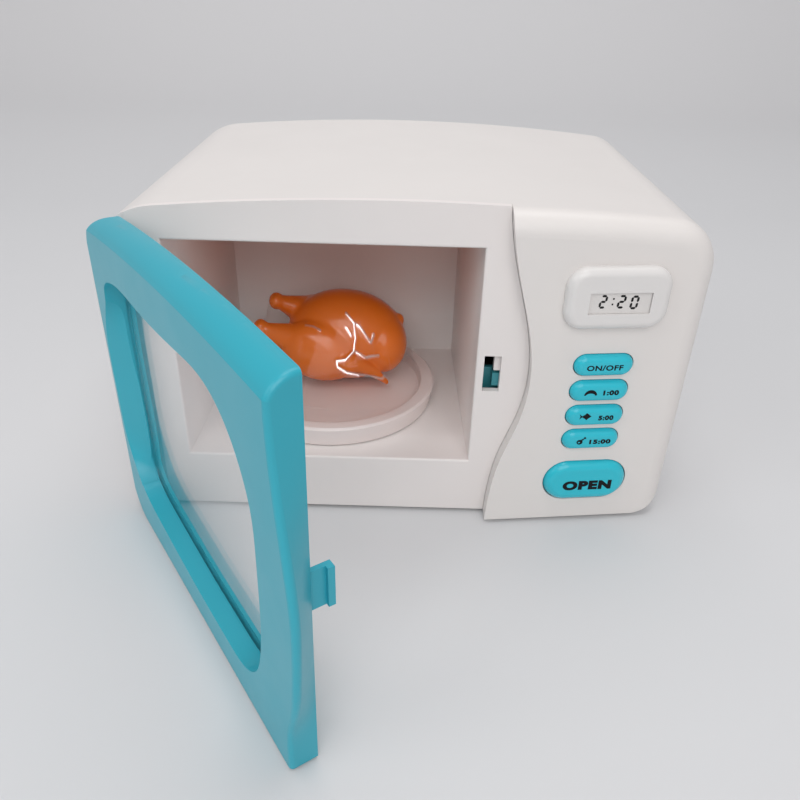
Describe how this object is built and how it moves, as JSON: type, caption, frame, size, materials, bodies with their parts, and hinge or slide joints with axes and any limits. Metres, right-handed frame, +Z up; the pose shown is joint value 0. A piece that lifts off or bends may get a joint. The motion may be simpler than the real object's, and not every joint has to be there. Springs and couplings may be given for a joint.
{
  "type": "toy microwave",
  "caption": "Toy microwave oven with a hinged door and hook latch, turntable with play chicken under film, push buttons, open button and display",
  "frame": {"origin": "on the surface the toy stands on, under the base plate, on the middle line of the crowned roof", "axes": "+Z up, +X to the right seen from the front, +Y from the front to the back"},
  "size_m": [0.2413, 0.2932, 0.1442],
  "materials": {
    "housing_shell": "satin moulded plastic",
    "oven_frame_shell": "satin moulded plastic",
    "latch_clip_steel": "bright",
    "rear_cover_shell": "satin moulded plastic",
    "screw_steel": "bright",
    "speaker_steel": "dark",
    "base_plastic": "fine texture",
    "tray_plastic": "fine texture",
    "cell_steel": "bare wrap",
    "contact_steel": "plated",
    "bezel_plastic": "gloss",
    "display_grey": "gloss",
    "button_turquoise": "satin",
    "lever_teal": "satin",
    "board_green": "lacquer",
    "switch_black": "satin",
    "lamp_clear": "clear",
    "door_turquoise": "satin",
    "door_inner_turquoise": "satin",
    "window_clear": "clear",
    "pin_steel": "bright",
    "gearbox_plastic": "satin",
    "spindle_plastic": "satin",
    "gear_plastic": "satin",
    "motor_steel": "bright",
    "pinion_brass": "bright",
    "plate_white": "gloss",
    "chicken_orange": "gloss",
    "film_clear": "clear"
  },
  "bodies": {
    "oven": {"housing": "housing_shell", "oven_frame": "oven_frame_shell", "latch_clip": "latch_clip_steel", "rear_cover": "rear_cover_shell", "cover_screws": "screw_steel", "speaker": "speaker_steel", "base_plate": "base_plastic", "base_screws": "screw_steel", "battery_door": "base_plastic", "battery_door_screw": "screw_steel", "battery_tray": "tray_plastic", "batteries": "cell_steel", "battery_contacts": "contact_steel", "display_bezel": "bezel_plastic", "display": "display_grey", "circuit_board": "board_green", "board_screws": "screw_steel", "switches": "switch_black", "lamp": "lamp_clear", "gearbox_base": "gearbox_plastic", "gearbox_cover": "gearbox_plastic", "gearbox_screws": "screw_steel", "idler_pin": "pin_steel", "motor": "motor_steel"},
    "door": {"door_frame": "door_turquoise", "door_inner_frame": "door_inner_turquoise", "door_window": "window_clear", "hinge_pins": "pin_steel"},
    "turntable": {"turntable_plate": "plate_white", "chicken": "chicken_orange", "film_cover": "film_clear", "drive_spindle": "spindle_plastic", "spindle_gear": "gear_plastic"},
    "idler": {"idler_gear": "gear_plastic"},
    "pinion": {"motor_pinion": "pinion_brass"},
    "on_off_key": {"button_on_off": "button_turquoise"},
    "one_minute_key": {"button_1_minute": "button_turquoise"},
    "five_minute_key": {"button_5_minutes": "button_turquoise"},
    "fifteen_minute_key": {"button_15_minutes": "button_turquoise"},
    "open_key": {"button_open": "button_turquoise"},
    "latch": {"latch_lever": "lever_teal"}
  },
  "joints": [
    {"name": "door_hinge", "type": "hinge", "parent": "oven", "child": "door", "pos_m": [-0.11002, -0.08395, 0], "axis": [0, 0, 1], "range_deg": [-34, 55.5]},
    {"name": "turntable_spin", "type": "hinge", "parent": "oven", "child": "turntable", "pos_m": [-0.032, -0.0215, 0], "axis": [0, 0, 1], "continuous": true},
    {"name": "idler_spin", "type": "hinge", "parent": "oven", "child": "idler", "pos_m": [-0.032, 0.0025, 0], "axis": [0, 0, 1], "continuous": true},
    {"name": "pinion_spin", "type": "hinge", "parent": "oven", "child": "pinion", "pos_m": [-0.032, 0.0225, 0], "axis": [0, 0, 1], "continuous": true},
    {"name": "on_off_press", "type": "slide", "parent": "oven", "child": "on_off_key", "axis": [0, 1, 0], "range_m": [0, 0.0012], "stiffness_N_per_m": 300, "springref_m": -0.001},
    {"name": "one_minute_press", "type": "slide", "parent": "oven", "child": "one_minute_key", "axis": [0, 1, 0], "range_m": [0, 0.0012], "stiffness_N_per_m": 300, "springref_m": -0.001},
    {"name": "five_minute_press", "type": "slide", "parent": "oven", "child": "five_minute_key", "axis": [0, 1, 0], "range_m": [0, 0.0012], "stiffness_N_per_m": 300, "springref_m": -0.001},
    {"name": "fifteen_minute_press", "type": "slide", "parent": "oven", "child": "fifteen_minute_key", "axis": [0, 1, 0], "range_m": [0, 0.0012], "stiffness_N_per_m": 300, "springref_m": -0.001},
    {"name": "open_press", "type": "slide", "parent": "oven", "child": "open_key", "axis": [0, 1, 0], "range_m": [0, 0.003], "stiffness_N_per_m": 400, "springref_m": -0.001},
    {"name": "latch_rock", "type": "hinge", "parent": "oven", "child": "latch", "pos_m": [0.0405, -0.0685, 0.044], "axis": [0, 1, 0], "range_deg": [0, 5]}
  ],
  "couplings": [
    {"joint": "idler_spin", "follows": "turntable_spin", "ratio": -3},
    {"joint": "pinion_spin", "follows": "turntable_spin", "ratio": 9},
    {"joint": "latch_rock", "follows": "open_press", "rad_per_m": 29.09}
  ]
}
